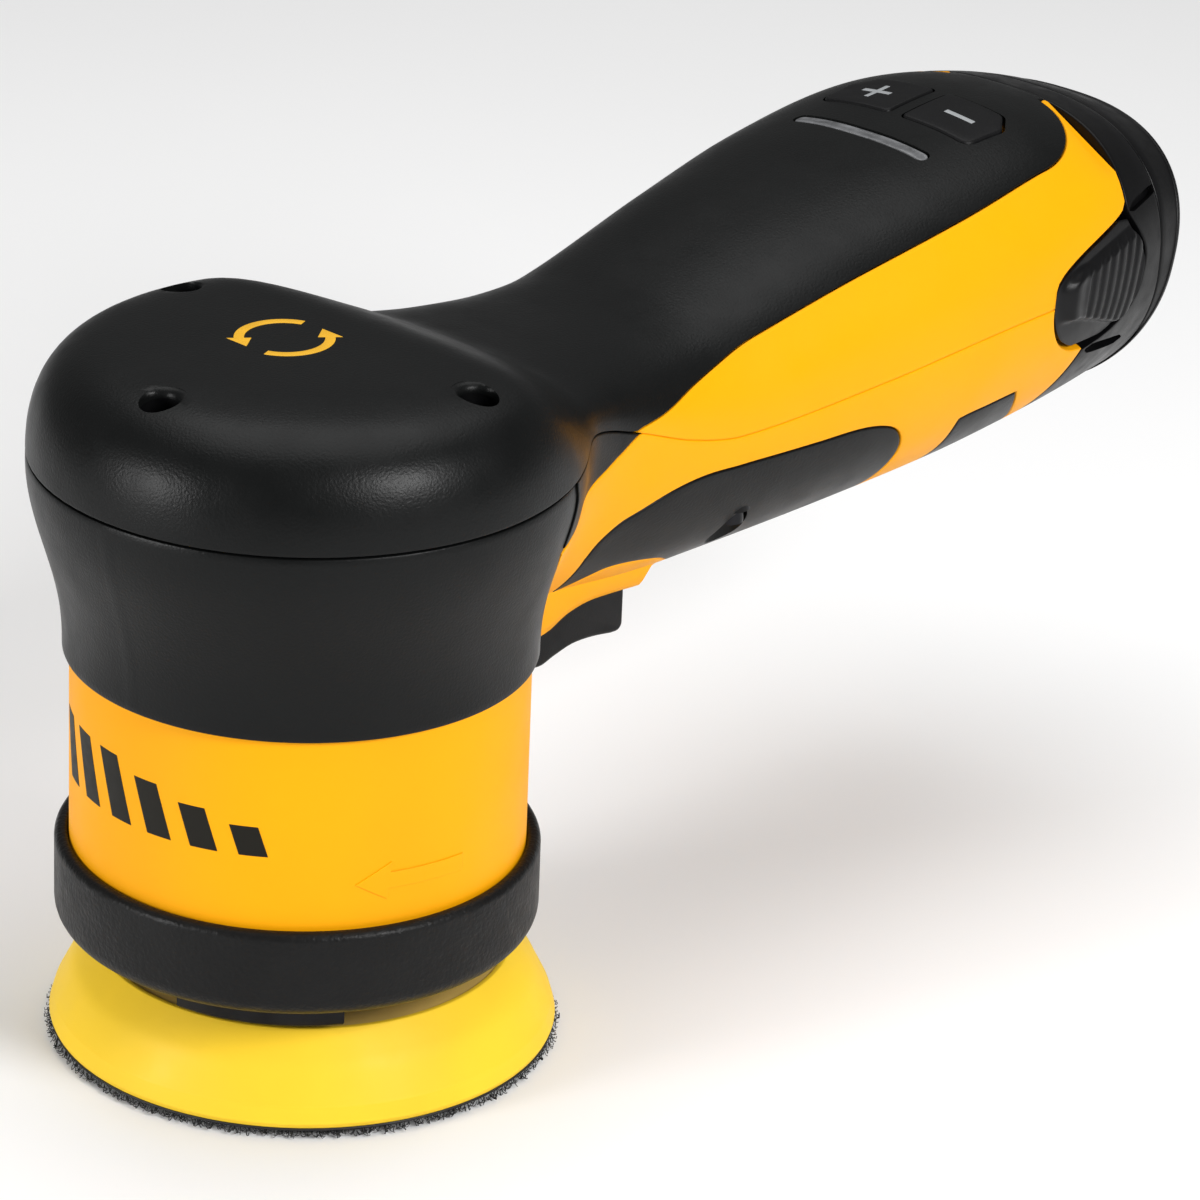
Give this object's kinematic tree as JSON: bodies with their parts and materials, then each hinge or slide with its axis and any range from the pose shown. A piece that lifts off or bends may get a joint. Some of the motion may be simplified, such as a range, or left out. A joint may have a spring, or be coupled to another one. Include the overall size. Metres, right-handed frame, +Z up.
{
  "type": "rotary polisher",
  "caption": "Compact cordless angle polisher with a round motor head, an orbiting round hook-faced pad, a soft-grip handle with paddle trigger and speed keys, and a slide-in battery.",
  "frame": {"origin": "on the motor axis, in the plane of the hook facing's working face", "axes": "+Z up the motor axis towards the dome, +X along the handle towards the battery, +Y to the left of the handle"},
  "size_m": [0.2233, 0.0829, 0.1163],
  "materials": {
    "hook_fabric": "short curled hooks",
    "pad_foam": "smooth moulded foam skin",
    "pad_core": "moulded",
    "steel": "turned",
    "dark_steel": "blackened",
    "bearing_steel": "ground",
    "laminations": "stacked sheet",
    "magnet": "coated",
    "copper": "enamelled wire and strip",
    "cast_alloy": "cast",
    "yellow_plastic": "satin moulded",
    "bumper_rubber": "fine grain",
    "soft_black": "soft touch with fine grain",
    "black_plastic": "moulded",
    "board_green": "solder mask",
    "wire_red": "sleeved",
    "light_lens": "frosted",
    "button_black": "soft keys",
    "button_rubber": "elastic",
    "cell_wrap": "shrink wrap"
  },
  "bodies": {
    "housing": {"motor_sleeve": "yellow_plastic", "bumper_ring": "bumper_rubber", "head_skirt": "soft_black", "upper_shell": "yellow_plastic", "upper_grip": "soft_black", "lower_shell": "yellow_plastic", "lower_grip": "soft_black", "dome_screws": "dark_steel", "handle_screws": "dark_steel", "lower_bearing": "bearing_steel", "upper_bearing": "bearing_steel", "stator_core": "laminations", "stator_windings": "copper", "lower_bearing_plate": "cast_alloy", "upper_bearing_bracket": "cast_alloy", "control_board": "board_green", "board_components": "black_plastic", "phase_wires": "wire_red", "battery_terminals": "black_plastic", "button_board": "board_green", "light_bar": "light_lens", "plus_spring": "button_rubber", "minus_spring": "button_rubber", "trigger_pin": "steel", "trigger_spring": "steel", "trigger_switch": "black_plastic"},
    "rotor": {"eccentric_shaft": "steel", "counterweight": "dark_steel", "eccentric_bearings": "bearing_steel", "rotor_core": "laminations", "rotor_magnets": "magnet"},
    "pad": {"hook_facing": "hook_fabric", "backing_pad": "pad_foam", "pad_hub": "pad_core", "pad_spindle": "steel"},
    "trigger": {"trigger_lever": "black_plastic"},
    "plus_button": {"plus_button": "button_black"},
    "minus_button": {"minus_button": "button_black"},
    "battery": {"battery_housing": "black_plastic", "battery_end_plate": "black_plastic", "battery_stem": "black_plastic", "battery_cells": "cell_wrap", "battery_contacts": "copper", "left_latch_spring": "steel", "right_latch_spring": "steel"},
    "left_latch": {"left_latch": "black_plastic"},
    "right_latch": {"right_latch": "black_plastic"}
  },
  "joints": [
    {"name": "spindle_spin", "type": "hinge", "parent": "housing", "child": "rotor", "pos_m": [0, 0, 0.05], "axis": [0, 0, 1], "continuous": true},
    {"name": "pad_spin", "type": "hinge", "parent": "rotor", "child": "pad", "pos_m": [0.00509, 0.00318, 0.02], "axis": [0, 0, 1], "continuous": true},
    {"name": "trigger_press", "type": "hinge", "parent": "housing", "child": "trigger", "pos_m": [0.041, 0, 0.061], "axis": [0, -1, 0], "range_deg": [0, 6], "stiffness_Nm_per_rad": 0.4, "springref_deg": -5.73, "deforming": ["trigger_spring"]},
    {"name": "plus_press", "type": "slide", "parent": "housing", "child": "plus_button", "axis": [0, 0, -1], "range_m": [0, 0.0008], "stiffness_N_per_m": 600, "springref_m": -0.0004, "deforming": ["plus_spring"]},
    {"name": "minus_press", "type": "slide", "parent": "housing", "child": "minus_button", "axis": [0, 0, -1], "range_m": [0, 0.0008], "stiffness_N_per_m": 600, "springref_m": -0.0004, "deforming": ["minus_spring"]},
    {"name": "battery_slide", "type": "slide", "parent": "housing", "child": "battery", "axis": [1, 0, 0], "range_m": [0, 0.09]},
    {"name": "left_latch_press", "type": "slide", "parent": "battery", "child": "left_latch", "axis": [0, -1, 0], "range_m": [0, 0.0012], "stiffness_N_per_m": 800, "springref_m": -0.0008},
    {"name": "right_latch_press", "type": "slide", "parent": "battery", "child": "right_latch", "axis": [0, 1, 0], "range_m": [0, 0.0012], "stiffness_N_per_m": 800, "springref_m": -0.0008}
  ]
}
